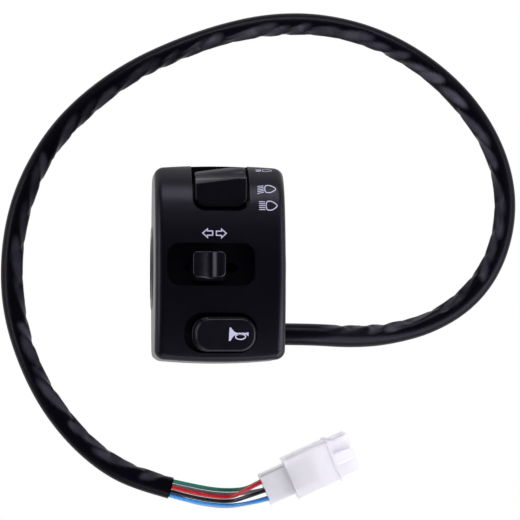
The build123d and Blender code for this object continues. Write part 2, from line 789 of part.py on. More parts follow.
# Turn knob: a saddle between a low left rim and a taller right ridge, on a stem through the slot
knob_base = turn_recess_floor + knob_lift
knob_left = knob_x - knob_width / 2
knob_top_points = [
    (knob_left + across * knob_width, knob_base + up * knob_thickness) for across, up in knob_profile_shares
]
stem_bottom = carriage_bore_bottom + cancel_spring_length
with BuildPart() as turn_knob:
    with BuildSketch(Plane.YZ.offset(knob_left)):
        with BuildLine():
            Polyline(
                (knob_y - knob_height / 2, knob_base),
                (knob_y + knob_height / 2, knob_base),
                (knob_y + knob_height / 2 - 2 * knob_upper_slope, knob_base + 2 * knob_thickness),
                (knob_y - knob_height / 2 + 2 * knob_lower_slope, knob_base + 2 * knob_thickness),
                close=True,
            )
        make_face()
    extrude(amount=knob_width)
    corners = turn_knob.edges().filter_by(lambda edge: abs(edge.tangent_at(0).Z) > facing_share)
    fillet(corners, knob_corner)
    with BuildSketch(Plane.XZ.offset(-knob_y)):
        with BuildLine():
            top_line = Spline(*knob_top_points)
            Polyline(
                top_line @ 1,
                (knob_top_points[-1][0], knob_base),
                (knob_top_points[0][0], knob_base),
                top_line @ 0,
            )
        make_face()
    extrude(amount=knob_height, both=True, mode=Mode.INTERSECT)
    upper_edges = turn_knob.edges().filter_by(lambda edge: edge.bounding_box().min.Z > knob_base + knob_thickness / 2)
    fillet(upper_edges, knob_edge_radius)
    with BuildSketch(Plane.XY.offset(stem_bottom)):
        with Locations((knob_x, slot_y)):
            Rectangle(knob_stem_width, knob_stem_height)
    extrude(amount=knob_base - stem_bottom)
turn_knob.part.label = "turn_knob"
export_step(turn_knob.part, "parts/turn_knob.step")

# Push-to-cancel spring under the stem
with BuildPart() as cancel_spring:
    with BuildSketch(Plane.XY.offset(carriage_bore_bottom)):
        with Locations((knob_x, slot_y)):
            Circle(spring_outer)
            Circle(spring_inner, mode=Mode.SUBTRACT)
    extrude(amount=cancel_spring_length)
cancel_spring.part.label = "cancel_spring"
export_step(cancel_spring.part, "parts/cancel_spring.step")

# Turn carriage: slides along the bar in the switch base and carries the knob
carriage_top = turn_base_top - carriage_top_gap
carriage_face = slot_y + carriage_width / 2
with BuildPart() as turn_carriage:
    with BuildSketch(Plane.XY.offset(carriage_bottom)):
        with Locations((knob_x, slot_y)):
            Rectangle(carriage_length, carriage_width)
    extrude(amount=carriage_top - carriage_bottom)
    chamfer(turn_carriage.edges().filter_by(Axis.Z), body_gap)
    with BuildSketch(Plane.XY.offset(carriage_bore_bottom)):
        with Locations((knob_x, slot_y)):
            Rectangle(knob_stem_width + 2 * stem_gap, knob_stem_height + 2 * stem_gap)
    extrude(amount=carriage_top - carriage_bore_bottom, mode=Mode.SUBTRACT)
    with BuildSketch(Plane.XZ.offset(-carriage_face)):
        with Locations((knob_x + detent_x, detent_level)):
            Circle(detent_ball_radius + fit_gap)
    extrude(amount=detent_bore_depth, mode=Mode.SUBTRACT)
turn_carriage.part.label = "turn_carriage"
export_step(turn_carriage.part, "parts/turn_carriage.step")

# Detent ball and its spring, in the side of the carriage
ball_y = carriage_face + detent_ball_proud - detent_ball_radius
with BuildPart() as detent_ball:
    with Locations((knob_x + detent_x, ball_y, detent_level)):
        Sphere(detent_ball_radius)
detent_ball.part.label = "detent_ball"
export_step(detent_ball.part, "parts/detent_ball.step")

with BuildPart() as detent_spring:
    with BuildSketch(Plane.XZ.offset(detent_bore_depth - carriage_face)):
        with Locations((knob_x + detent_x, detent_level)):
            Circle(spring_outer)
            Circle(spring_inner, mode=Mode.SUBTRACT)
    extrude(amount=2 * detent_ball_radius - detent_ball_proud - detent_bore_depth)
detent_spring.part.label = "detent_spring"
export_step(detent_spring.part, "parts/detent_spring.step")

# Turn bridge contact, under the carriage
with BuildPart() as turn_bridge_contact:
    with BuildSketch(Plane.XY.offset(turn_pad_top + slide_gap)):
        with Locations((knob_x, slot_y)):
            Rectangle(blade_width, 2 * turn_strip_pitch + turn_strip_width)
    extrude(amount=blade_thickness)
turn_bridge_contact.part.label = "turn_bridge_contact"
export_step(turn_bridge_contact.part, "parts/turn_bridge_contact.step")

# Turn contacts: three strips on the floor of the base; the outer two have a pad at one end each
strip_level = turn_base_bottom + turn_base_floor
strip_start = knob_x - turn_base_length / 2 + turn_base_wall
strip_end = knob_x + turn_base_length / 2 + turn_tag_length
strip_ys = [slot_y + step * turn_strip_pitch for step in (-1, 0, 1)]
with BuildPart() as turn_contacts:
    with BuildSketch(Plane.XY.offset(strip_level)):
        for strip_y in strip_ys:
            with Locations(((strip_start + strip_end) / 2, strip_y)):
                Rectangle(strip_end - strip_start, turn_strip_width)
    extrude(amount=turn_strip_thickness)
    with BuildSketch(Plane.XY.offset(strip_level)):
        with Locations((knob_x - turn_travel, strip_ys[0]), (knob_x + turn_travel, strip_ys[2])):
            Rectangle(turn_pad_length, turn_strip_width)
        with Locations((knob_x, strip_ys[1])):
            Rectangle(2 * turn_travel + turn_pad_length, turn_strip_width)
    extrude(amount=turn_strip_thickness + turn_pad_height)
turn_contacts.part.label = "turn_contacts"
export_step(turn_contacts.part, "parts/turn_contacts.step")

# Turn switch base: an open box under the recess floor, with two ears
inner_half = carriage_width / 2 + body_gap
with BuildPart() as turn_switch_base:
    with BuildSketch(Plane.XY.offset(turn_base_bottom)):
        with Locations((knob_x, slot_y)):
            RectangleRounded(turn_base_length, turn_base_width, turn_base_wall / 2)
    extrude(amount=turn_base_top - turn_base_bottom)
    with BuildSketch(Plane.XY.offset(turn_ear_level)):
        for ear_x, ear_y in ear_places:
            with Locations((ear_x, ear_y)):
                Circle(ear_radius)
            with Locations((ear_x, (ear_y + slot_y) / 2)):
                Rectangle(2 * ear_radius, turn_ear_reach)
    extrude(amount=turn_ear_thickness)
    with BuildSketch(Plane.XY.offset(strip_level)):
        with Locations((knob_x, slot_y)):
            Rectangle(turn_base_length - 2 * turn_base_wall, 2 * inner_half)
    extrude(amount=turn_base_top - strip_level, mode=Mode.SUBTRACT)
    with BuildSketch(Plane.XY.offset(turn_ear_level)):
        with Locations(*ear_places):
            Circle(tapping_radius + fit_gap)
    extrude(amount=turn_ear_thickness, mode=Mode.SUBTRACT)
    with BuildSketch(Plane.XY.offset(strip_level)):
        for strip_y in strip_ys:
            with Locations((knob_x + turn_base_length / 2, strip_y)):
                Rectangle(2 * turn_base_wall + overrun, turn_strip_width + 2 * fit_gap)
    extrude(amount=turn_strip_thickness + fit_gap, mode=Mode.SUBTRACT)
    groove_bottom = slot_y + inner_half + detent_groove_depth
    with BuildSketch(Plane.XY.offset(detent_level - detent_ball_radius - body_gap)):
        with Locations((knob_x + detent_x, slot_y + inner_half)):
            Rectangle(2 * turn_travel + 2 * detent_ball_radius + 2 * body_gap, 2 * detent_groove_depth)
        for step in (-1, 0, 1):
            with Locations((knob_x + detent_x + step * turn_travel, groove_bottom + detent_notch_depth)):
                Circle(detent_ball_radius, align=(Align.CENTER, Align.MAX))
    extrude(amount=2 * detent_ball_radius + 2 * body_gap, mode=Mode.SUBTRACT)
turn_switch_base.part.label = "turn_switch_base"
export_step(turn_switch_base.part, "parts/turn_switch_base.step")

turn_base_screws = tapping_screws(Plane.XY.offset(turn_ear_level), ear_places)
turn_base_screws.part.label = "turn_base_screws"
export_step(turn_base_screws.part, "parts/turn_base_screws.step")


def button_outline(inset, left_inset):
    """The horn button's rounded outline in the horn plane, drawn in by inset, and more at the left."""
    with BuildSketch() as outline:
        with Locations((horn_x + (left_inset - inset) / 2, 0)):
            RectangleRounded(
                horn_button_length - inset - left_inset,
                horn_button_height - 2 * inset,
                horn_button_corner - inset,
            )
    return outline.sketch


# Horn button: a bevelled cap over a prism with a stop flange, and a stem that carries its contact
flange_top = horn_floor_level - body_gap
flange_bottom = flange_top - horn_flange_thickness
bevel_start = horn_button_proud - horn_bevel_height
contact_level = horn_contact_proud - horn_base_depth
bridge_bottom = contact_level + horn_contact_gap + horn_travel
stem_end = bridge_bottom + blade_thickness
with BuildPart() as horn_button:
    low_outline = horn_plane.offset(bevel_start) * button_outline(0, 0)
    top_outline = horn_plane.offset(horn_button_proud) * button_outline(horn_top_inset, horn_top_left_inset)
    loft([low_outline.face(), top_outline.face()], ruled=True)
    fillet(horn_button.faces().sort_by(Axis.Z)[-1].edges(), horn_top_edge)
    with BuildSketch(horn_plane.offset(flange_bottom)):
        add(button_outline(0, 0))
    extrude(amount=bevel_start - flange_bottom)
    with BuildSketch(horn_plane.offset(flange_bottom)):
        add(button_outline(-horn_flange, -horn_flange))
    extrude(amount=horn_flange_thickness)
    with BuildSketch(horn_plane.offset(flange_bottom)):
        add(button_outline(horn_button_shell, horn_button_shell))
    extrude(amount=-flange_bottom, mode=Mode.SUBTRACT)
    with BuildSketch(horn_plane.offset(stem_end)):
        with Locations((horn_x, 0)):
            Circle(horn_stem_radius)
    extrude(amount=-stem_end)
horn_button.part.label = "horn_button"
export_step(horn_button.part, "parts/horn_button.step")

# Horn bridge contact: a disc on the end of the stem
with BuildPart() as horn_bridge_contact:
    with BuildSketch(horn_plane.offset(bridge_bottom)):
        with Locations((horn_x, 0)):
            Circle(horn_bridge_radius)
    extrude(amount=blade_thickness)
horn_bridge_contact.part.label = "horn_bridge_contact"
export_step(horn_bridge_contact.part, "parts/horn_bridge_contact.step")

# Horn switch base: the plate behind the button, with its two ears
horn_rivets = [(horn_x - horn_contact_offset, 0), (horn_x + horn_contact_offset, 0)]
horn_posts = [(-horn_post_offset, 0), (horn_post_offset, 0)]
with BuildPart() as horn_switch_base:
    with BuildSketch(horn_plane.offset(-horn_base_depth)):
        with Locations((horn_x, 0)):
            RectangleRounded(horn_base_length, horn_base_width, horn_base_thickness)
        SlotOverall(2 * horn_post_offset + 2 * ear_radius, 2 * ear_radius)
        with Locations(*horn_posts):
            Circle(tapping_radius + fit_gap, mode=Mode.SUBTRACT)
        with Locations(*horn_rivets):
            Circle(rivet_radius + fit_gap, mode=Mode.SUBTRACT)
    extrude(amount=-horn_base_thickness)
horn_switch_base.part.label = "horn_switch_base"
export_step(horn_switch_base.part, "parts/horn_switch_base.step")

horn_base_screws = tapping_screws(horn_plane.offset(-horn_base_depth - horn_base_thickness), horn_posts)
horn_base_screws.part.label = "horn_base_screws"
export_step(horn_base_screws.part, "parts/horn_base_screws.step")

# Horn contacts: two rivets that the disc bridges
with BuildPart() as horn_contacts:
    with BuildSketch(horn_plane.offset(contact_level)):
        with Locations(*horn_rivets):
            Circle(rivet_head_radius)
    extrude(amount=-horn_contact_proud)
    with BuildSketch(horn_plane.offset(contact_level)):
        with Locations(*horn_rivets):
            Circle(rivet_radius)
    extrude(amount=-horn_contact_proud - horn_base_thickness - rivet_tail)
horn_contacts.part.label = "horn_contacts"
export_step(horn_contacts.part, "parts/horn_contacts.step")

# Horn spring: between the plate and the roof inside the button
with BuildPart() as horn_spring:
    with BuildSketch(horn_plane.offset(-horn_base_depth)):
        with Locations((horn_x, 0)):
            Circle(horn_spring_radius + horn_spring_wire / 2)
            Circle(horn_spring_radius - horn_spring_wire / 2, mode=Mode.SUBTRACT)
    extrude(amount=horn_base_depth)
horn_spring.part.label = "horn_spring"
export_step(horn_spring.part, "parts/horn_spring.step")

# Cord grommet: a collar through the side wall, with a flange inside it
flange_face = half_width - wall - 2 * slide_gap
with BuildPart() as cord_grommet:
    with BuildSketch(Plane.YZ.offset(flange_face - grommet_flange_length)):
        with Locations((cord_exit_y, 0)):
            Circle(grommet_radius + grommet_flange)
    extrude(amount=grommet_flange_length)
    with BuildSketch(Plane.YZ.offset(flange_face)):
        with Locations((cord_exit_y, 0)):
            Circle(grommet_radius)
    extrude(amount=half_width - flange_face)
    with BuildSketch(Plane.YZ.offset(half_width - 2 * wall)):
        with Locations((cord_exit_y, 0)):
            Circle(grommet_bore)
    extrude(amount=2 * wall + overrun, mode=Mode.SUBTRACT)
cord_grommet.part.label = "cord_grommet"
export_step(cord_grommet.part, "parts/cord_grommet.step")


def bend_radii(points):
    """The radius of the bend at each inner point of a route."""
    radii = []
    for before, corner, after in zip(points, points[1:], points[2:]):
        run_in = Vector(corner) - Vector(before)
        run_out = Vector(after) - Vector(corner)
        half_turn = math.radians(run_in.get_angle(run_out)) / 2
        radii.append(bend_share * min(run_in.length, run_out.length) / math.tan(half_turn))
    return radii


def cord_tube(points, diameter, name):
    """A round cord along the points, as straight runs joined by arcs."""
    radii = bend_radii(points)
    with BuildPart() as tube:
        with BuildLine():
            path = FilletPolyline(*points, radius=radii)
        with BuildSketch(Plane(origin=path @ 0, z_dir=path % 0)):
            Circle(diameter / 2)
        sweep(path=path)
    section = math.pi * diameter**2 / 4
    share = tube.part.volume / (section * path.length)
    print(f"{name}: length {path.length:.0f}, smallest bend radius {min(radii):.1f}, volume share {share:.3f}")
    tube.part.label = name
    return tube


# Cord sleeve: off the side of the housing, down to the table and round in a wide loop
sheath_route = [
    (18.2, -22.5, 0.0), (32.5, -22.5, 0.0), (47.5, -23.4, -5.4), (62.0, -22.5, -10.6), (77.0, -18.9, -12.7),
    (90.2, -10.9, -12.7), (99.8, 0.9, -12.7), (104.9, 15.9, -12.7), (105.0, 32.0, -12.7), (99.6, 48.0, -12.7),
    (88.6, 63.2, -12.7), (74.2, 75.6, -12.7), (57.0, 84.2, -12.7), (38.9, 88.4, -12.7), (20.5, 87.9, -12.7),
    (3.0, 84.2, -12.7), (-13.5, 77.9, -12.7), (-29.6, 70.0, -12.7), (-43.8, 59.2, -12.7), (-56.3, 46.0, -12.7),
    (-65.2, 29.6, -12.7), (-69.9, 11.5, -12.7), (-70.4, -7.0, -12.7), (-67.0, -25.0, -12.7),
    (-59.6, -42.2, -12.7), (-48.6, -57.2, -12.7), (-37.2, -67.2, -12.7), (-26.0, -72.9, -12.7),
    (-14.6, -76.2, -12.7),
]
cord_sheath = cord_tube(sheath_route, sheath_diameter, "cord_sheath")
export_step(cord_sheath.part, "parts/cord_sheath.step")

# Plug: a white nylon housing with two rows of three terminals
plug_turn = math.radians(plug_angle)
plug_rear = Vector(plug_rear_right, -plug_rear_below, -plug_rear_drop)
plug_plane = Plane(
    origin=plug_rear,
    x_dir=(-math.sin(plug_turn), math.cos(plug_turn), 0),
    z_dir=(math.cos(plug_turn), math.sin(plug_turn), 0),
)
plug_end = plug_rear_length + plug_hood_length + plug_rim_length + plug_nose_length
channel_places = [
    (column * plug_column_pitch, row * plug_row_pitch / 2) for row in (-1, 1) for column in (-1, 0, 1)
]
with BuildPart() as connector_housing:
    with BuildSketch(plug_plane):
        RectangleRounded(plug_rear_width, plug_rear_height, plug_corner)
    extrude(amount=plug_rear_length)
    with BuildSketch(plug_plane.offset(plug_rear_length)):
        RectangleRounded(plug_hood_width, plug_hood_height, plug_corner)
    extrude(amount=plug_hood_length)
    with BuildSketch(plug_plane.offset(plug_rear_length + plug_hood_length)):
        RectangleRounded(
            plug_hood_width + 2 * plug_rim_step, plug_hood_height + 2 * plug_rim_step, plug_corner + plug_rim_step,
        )
    extrude(amount=plug_rim_length)
    with BuildSketch(plug_plane.offset(plug_end - plug_nose_length)):
        RectangleRounded(
            plug_hood_width - 2 * plug_nose_step, plug_hood_height - 2 * plug_nose_step, plug_corner,
        )
    extrude(amount=plug_nose_length)
    with BuildSketch(plug_plane.offset(plug_end - plug_nose_length)):
        with Locations((0, plug_hood_height / 2 - plug_nose_step)):
            RectangleRounded(plug_latch_width, 2 * plug_latch_height, plug_latch_height / 2)
    extrude(amount=plug_latch_length - plug_rim_length)
    with BuildSketch(plug_plane.offset(plug_rear_length + plug_web)):
        RectangleRounded(
            plug_hood_width - 2 * plug_hood_wall, plug_hood_height - 2 * plug_hood_wall, plug_corner / 2,
        )
    extrude(amount=plug_end, mode=Mode.SUBTRACT)
    with BuildSketch(plug_plane):
        with Locations(*channel_places):
            Rectangle(plug_channel_width, plug_channel_height)
    extrude(amount=plug_rear_length + plug_web, mode=Mode.SUBTRACT)
connector_housing.part.label = "connector_housing"
export_step(connector_housing.part, "parts/connector_housing.step")

# Terminals: a crimp in each channel, with a flat tab that stands out into the hood
with BuildPart() as connector_terminals:
    with BuildSketch(plug_plane.offset(crimp_inset)):
        with Locations(*channel_places):
            Rectangle(terminal_width, terminal_height)
    extrude(amount=plug_rear_length + plug_web - crimp_inset)
    with BuildSketch(plug_plane.offset(plug_rear_length + plug_web)):
        with Locations(*channel_places):
            Rectangle(tab_width, tab_thickness)
    extrude(amount=tab_length)
connector_terminals.part.label = "connector_terminals"
export_step(connector_terminals.part, "parts/connector_terminals.step")

# Leads between sleeve and plug: each route ends inside its channel, against its crimp
lead_routes = {
    "green": [
        (-13.71, -73.86, -13.5), (-6.85, -75.55, -15.0), (1.05, -77.1, -15.75), (7.0, -77.35, -15.75),
        (12.0, -76.7, -13.6), (16.9, -73.98, -12.2), (17.81, -73.57, -12.2),
    ],
    "grey": [
        (-14.13, -75.3, -13.5), (-7.25, -77.0, -15.0), (0.8, -78.6, -15.75), (7.0, -78.9, -15.75),
        (12.6, -78.1, -13.6), (18.2, -76.9, -12.2), (19.11, -76.49, -12.2),
    ],
    "brown": [
        (-15.05, -78.47, -13.5), (-8.4, -80.95, -15.0), (0.3, -82.7, -15.75), (7.0, -83.0, -15.75),
        (13.6, -81.6, -13.6), (19.5, -79.82, -12.2), (20.41, -79.42, -12.2),
    ],
    "red": [
        (-14.3, -75.88, -11.9), (-7.5, -77.85, -13.2), (0.65, -79.45, -14.2), (7.0, -79.75, -14.2),
        (11.4, -76.9, -9.6), (16.9, -73.98, -8.2), (17.81, -73.57, -8.2),
    ],
    "black": [
        (-14.7, -77.27, -11.9), (-7.9, -79.3, -13.2), (0.4, -80.9, -14.2), (7.0, -81.2, -14.2),
        (12.3, -79.0, -9.6), (18.2, -76.9, -8.2), (19.11, -76.49, -8.2),
    ],
    "blue": [
        (-15.11, -78.66, -11.9), (-8.3, -80.75, -13.2), (0.15, -82.35, -14.2), (7.0, -82.65, -14.2),
        (13.4, -81.3, -9.6), (19.5, -79.82, -8.2), (20.41, -79.42, -8.2),
    ],
}
for colour, route in lead_routes.items():
    lead = cord_tube(route, lead_diameter, f"lead_{colour}")
    export_step(lead.part, f"parts/lead_{colour}.step")

# Inner leads, from the sleeve's end to the tags of the turn switch and the rivets of the other two;
# the jumper feeds the beam switch from the turn switch's common tag
inner_routes = {
    "inner_lead_green": [
        (18.2, -24.3, 1.6), (12.8, -24.3, 1.6), (12.8, -21.2, 9.8), (12.8, -10.8, 18.25), (12.8, -3.7, 18.25),
        (10.95, -3.7, 18.25),
    ],
    "inner_lead_red": [
        (18.2, -22.7, 2.1), (14.5, -22.7, 2.1), (14.5, -21.2, 9.8), (14.5, -10.8, 18.25), (14.5, -1.1, 18.25),
        (10.95, -1.1, 18.25),
    ],
    "inner_lead_brown": [
        (18.2, -21.0, 1.9), (16.2, -21.0, 1.9), (16.2, -21.2, 9.8), (16.2, -10.8, 18.25), (16.2, 1.5, 18.25),
        (10.95, 1.5, 18.25),
    ],
    "inner_lead_blue": [
        (18.2, -20.5, 0.0), (13.8, -20.5, 0.0), (13.8, -18.5, 9.0), (13.8, -9.5, 15.6), (13.8, 1.5, 16.2),
        (13.8, 9.5, 13.6), (13.8, 19.7, 7.4), (6.25, 19.7, 6.4), (6.25, 19.7, 9.0),
    ],
    "inner_lead_grey": [
        (18.2, -22.4, 0.0), (12.1, -22.4, 0.0), (12.1, -18.5, 9.0), (12.1, -9.5, 15.6), (12.1, 1.5, 16.2),
        (12.1, 9.5, 13.6), (12.1, 17.0, 7.4), (6.25, 17.0, 6.4), (6.25, 17.0, 9.0),
    ],
    "inner_lead_black": [
        (18.2, -23.6, -1.7), (9.0, -23.6, -1.7), (7.2, -24.6, 10.8), (2.55, -18.2, 11.4), (2.55, -19.05, 15.1),
    ],
    "feed_jumper": [
        (9.8, -1.1, 18.5), (9.8, -1.1, 20.8), (15.4, 6.0, 20.9), (15.4, 12.0, 11.0), (15.4, 14.3, 6.4),
        (6.25, 14.3, 6.4), (6.25, 14.3, 9.0),
    ],
}
for name, route in inner_routes.items():
    inner_lead = cord_tube(route, lead_diameter, name)
    export_step(inner_lead.part, f"parts/{name}.step")
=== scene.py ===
"""Handlebar switch cluster with its sleeved lead and white plug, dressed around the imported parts."""

import math
import random

import bpy
from mathutils import Matrix, Vector
from mathutils.bvhtree import BVHTree


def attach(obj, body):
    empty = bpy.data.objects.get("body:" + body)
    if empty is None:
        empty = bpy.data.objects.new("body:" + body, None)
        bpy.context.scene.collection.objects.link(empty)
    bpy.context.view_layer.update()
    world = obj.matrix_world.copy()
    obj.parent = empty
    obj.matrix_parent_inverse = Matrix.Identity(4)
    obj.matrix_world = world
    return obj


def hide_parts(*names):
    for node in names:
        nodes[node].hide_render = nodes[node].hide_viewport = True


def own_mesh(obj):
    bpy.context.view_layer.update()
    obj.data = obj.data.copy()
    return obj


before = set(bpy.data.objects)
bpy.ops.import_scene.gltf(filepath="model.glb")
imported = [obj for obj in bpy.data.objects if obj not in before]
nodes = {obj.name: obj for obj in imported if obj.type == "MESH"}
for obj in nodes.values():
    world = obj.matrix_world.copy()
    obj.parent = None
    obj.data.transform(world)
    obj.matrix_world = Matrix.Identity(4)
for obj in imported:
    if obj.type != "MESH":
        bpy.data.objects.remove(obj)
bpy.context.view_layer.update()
mm = 0.001


class Value:
    """A shader value that takes Python's operators; each use adds its Math node."""

    def __init__(self, finish, socket):
        self.finish = finish
        self.socket = socket

    def math(self, operation, *others):
        return self.finish.node("ShaderNodeMath", {"operation": operation}, dict(enumerate((self, *others))))

    def __add__(self, other):
        return self.math("ADD", other)

    def __sub__(self, other):
        return self.math("SUBTRACT", other)

    def __rsub__(self, other):
        return self.finish.node("ShaderNodeMath", {"operation": "SUBTRACT"}, {0: other, 1: self})

    def __mul__(self, other):
        return self.math("MULTIPLY", other)

    __radd__ = __add__
    __rmul__ = __mul__


class Finish:
    """A material on one Principled shader; node() adds any other node and returns one output.

    Its roughness is a number, or rises from it by up to spread over a noise of that scale.
    """

    def __init__(self, name, colour, roughness, spread=0.0, scale=0.0, **constants):
        self.material = bpy.data.materials.new(name)
        self.material.use_nodes = True
        self.tree = self.material.node_tree
        self.shader = self.tree.nodes["Principled BSDF"]
        self.set("Base Color", (*colour, 1))
        self.set("Roughness", roughness + spread * self.noise(scale) if spread else roughness)
        for socket, value in constants.items():
            self.set(socket.replace("_", " "), value)

    def set(self, socket, value):
        self.join(self.shader.inputs[socket], value)

    def join(self, socket, value):
        if isinstance(value, Value):
            self.tree.links.new(value.socket, socket)
        else:
            socket.default_value = value

    def node(self, kind, settings, inputs, output=0):
        made = self.tree.nodes.new(kind)
        for name, setting in settings.items():
            setattr(made, name, setting)
        for place, value in inputs.items():
            self.join(made.inputs[place], value)
        return Value(self, made.outputs[output])

    def place(self):
        return self.node("ShaderNodeTexCoord", {}, {}, "Object")

    def noise(self, scale, detail=2.0):
        return self.node("ShaderNodeTexNoise", {}, {"Vector": self.place(), "Scale": scale, "Detail": detail})

    def blend(self, share, low, high):
        return self.node(
            "ShaderNodeMix", {"data_type": "RGBA"}, {0: share, 6: (*low, 1), 7: (*high, 1)}, 2,
        )

    def bump(self, height, distance, strength=1.0):
        self.set("Normal", self.node(
            "ShaderNodeBump", {}, {"Height": height, "Distance": distance, "Strength": strength},
        ))


def linked(name, data):
    """A new object in the scene."""
    piece = bpy.data.objects.new(name, data)
    bpy.context.scene.collection.objects.link(piece)
    return piece


def evaluated_mesh(piece):
    """A new mesh of an object with its modifiers applied."""
    return bpy.data.meshes.new_from_object(piece.evaluated_get(bpy.context.evaluated_depsgraph_get()))


def refinish(members, finish):
    """Gives CAD pieces a finish in place of their plain one."""
    for member in members:
        nodes[member].data.materials.clear()
        nodes[member].data.materials.append(finish.material)


def merged_copy(node, name):
    """A copy of a CAD node's mesh with its loose triangles joined."""
    piece = linked(name, nodes[node].data.copy())
    weld = piece.modifiers.new("weld", "WELD")
    weld.merge_threshold = 2e-7
    welded = evaluated_mesh(piece)
    piece.modifiers.clear()
    piece.data = welded
    welded.materials.clear()
    return piece


def smooth(mesh, angle):
    """Shades a mesh smooth, with its edges sharp where they turn by more than angle, in degrees."""
    mesh.polygons.foreach_set("use_smooth", [True] * len(mesh.polygons))
    mesh.set_sharp_from_angle(angle=math.radians(angle))


# The body's left bar collar begins here, and this share of its length is kept, as in the photo.
collar_start = -21.5 * mm
collar_kept = 0.3


def moulded(node, finish, edge):
    """Replaces a CAD node by its own shape with small moulded edge radii."""
    piece = merged_copy(node, node + "_moulded")
    piece.data.materials.append(finish.material)
    for vertex in piece.data.vertices:
        if vertex.co.x < collar_start:
            vertex.co.x = collar_start + collar_kept * (vertex.co.x - collar_start)
    smooth(piece.data, 28)
    bevel = piece.modifiers.new("edges", "BEVEL")
    bevel.width = edge * mm
    bevel.segments = 2
    bevel.limit_method = "ANGLE"
    bevel.angle_limit = math.radians(40)
    normals = piece.modifiers.new("normals", "WEIGHTED_NORMAL")
    normals.keep_sharp = True
    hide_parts(node)
    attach(piece, "housing")


# Moulded body: two black nylon shells that clamp on the bar. They are injection moulded, with a fine
# satin grain on the outside, and every moulded edge has a small radius that catches the light.
housing = Finish(
    "moulded_nylon", (0.0018, 0.0014, 0.003), 0.31, 0.08, 180,
    Specular_IOR_Level=0.2, Specular_Tint=(0.84, 0.78, 1.0, 1),
)
housing.bump(housing.noise(2600, 3), 0.00003, 0.5)
for shell in ("front_housing", "rear_housing"):
    moulded(shell, housing, 0.22)

# Controls: the rocker, the turn knob and the horn button are moulded in a smoother, glossier black
# than the body, so that a thumb slides on them. All their edges are rounded over.
button = Finish(
    "smooth_button", (0.0015, 0.0012, 0.0025), 0.29, 0.1, 260,
    Specular_IOR_Level=0.32, Specular_Tint=(0.84, 0.8, 1.0, 1),
)
button.bump(button.noise(1500), 0.00001, 0.4)


def with_calm_face(mesh):
    """Smooths the rocker's face beyond its ridge, which is the highest line across it."""
    column_width, ridge_margin, least_upward = 0.5 * mm, 0.8 * mm, 0.15
    ridge = {}
    for vertex in mesh.vertices:
        column = round(vertex.co.x / column_width)
        if column not in ridge or vertex.co.z > ridge[column].z:
            ridge[column] = vertex.co.copy()
    held = linked("rocker_face", mesh)
    face = held.vertex_groups.new(name="face")
    face.add([
        vertex.index for vertex in mesh.vertices
        if vertex.normal.z > least_upward
        and vertex.co.y > ridge[round(vertex.co.x / column_width)].y + ridge_margin
    ], 1.0, "REPLACE")
    calm = held.modifiers.new("calm", "SMOOTH")
    calm.vertex_group = "face"
    calm.factor = 0.5
    calm.iterations = 160
    calmed = evaluated_mesh(held)
    bpy.data.objects.remove(held)
    return calmed


def softened(node, body, voxel, passes):
    """Replaces a control's CAD node by its own shape with its edges worn round."""
    rough = merged_copy(node, node + "_rough")
    remesh = rough.modifiers.new("remesh", "REMESH")
    remesh.mode = "VOXEL"
    remesh.voxel_size = voxel * mm
    relax = rough.modifiers.new("relax", "SMOOTH")
    relax.factor = 0.5
    relax.iterations = passes
    mesh = evaluated_mesh(rough)
    if node == "beam_rocker":
        mesh = with_calm_face(mesh)
    bpy.data.objects.remove(rough)
    mesh.name = node + "_softened"
    mesh.polygons.foreach_set("use_smooth", [True] * len(mesh.polygons))
    mesh.materials.append(button.material)
    piece = linked(node + "_softened", mesh)
    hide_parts(node)
    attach(piece, body)
    return mesh


rocker_mesh = softened("beam_rocker", "beam_rocker", 0.2, 30)
softened("horn_button", "horn_button", 0.19, 9)
softened("turn_knob", "turn_knob", 0.15, 9)

# The rocker's far edge is pressed in to the photo's outline, and this share of its reach is kept.
rocker_trim = 0.6 * mm
trim_kept = 0.1
rocker_top = max(vertex.co.y for vertex in rocker_mesh.vertices) - rocker_trim
for vertex in rocker_mesh.vertices:
    vertex.co.y = min(vertex.co.y, rocker_top + trim_kept * (vertex.co.y - rocker_top))

# Symbols: pad printed in a cool white on the finished mouldings, a few hundredths of a millimetre
# thick. The arrows and lamps are on the body, and the horn is on its button.
print_lift = 0.02 * mm
print_thickness = 0.03 * mm
arrow_line = 0.36
stroke_step = 0.3
mitre_limit = 0.35
white_print = Finish("white_print", (0.5, 0.48, 0.64), 0.42, 0.16, 900)


def along(points, step, closed):
    """Points every step along a run of straight lines, corners kept."""
    ring = points + points[:1] if closed else points
    spread = []
    for a, b in zip(ring, ring[1:]):
        count = max(1, math.ceil(math.dist(a, b) / step))
        spread += [(a[0] + (b[0] - a[0]) * i / count, a[1] + (b[1] - a[1]) * i / count) for i in range(count)]
    return spread if closed else spread + [ring[-1]]


def rounded(points, steps=6):
    """A closed smooth line through the points."""
    count = len(points)
    line = []
    for i in range(count):
        p = [Vector(points[(i + k) % count]) for k in (-1, 0, 1, 2)]
        for j in range(steps):
            t = j / steps
            line.append(tuple(
                0.5 * (2 * p[1] + (p[2] - p[0]) * t + (2 * p[0] - 5 * p[1] + 4 * p[2] - p[3]) * t**2
                       + (3 * p[1] - p[0] - 3 * p[2] + p[3]) * t**3)
            ))
    return line


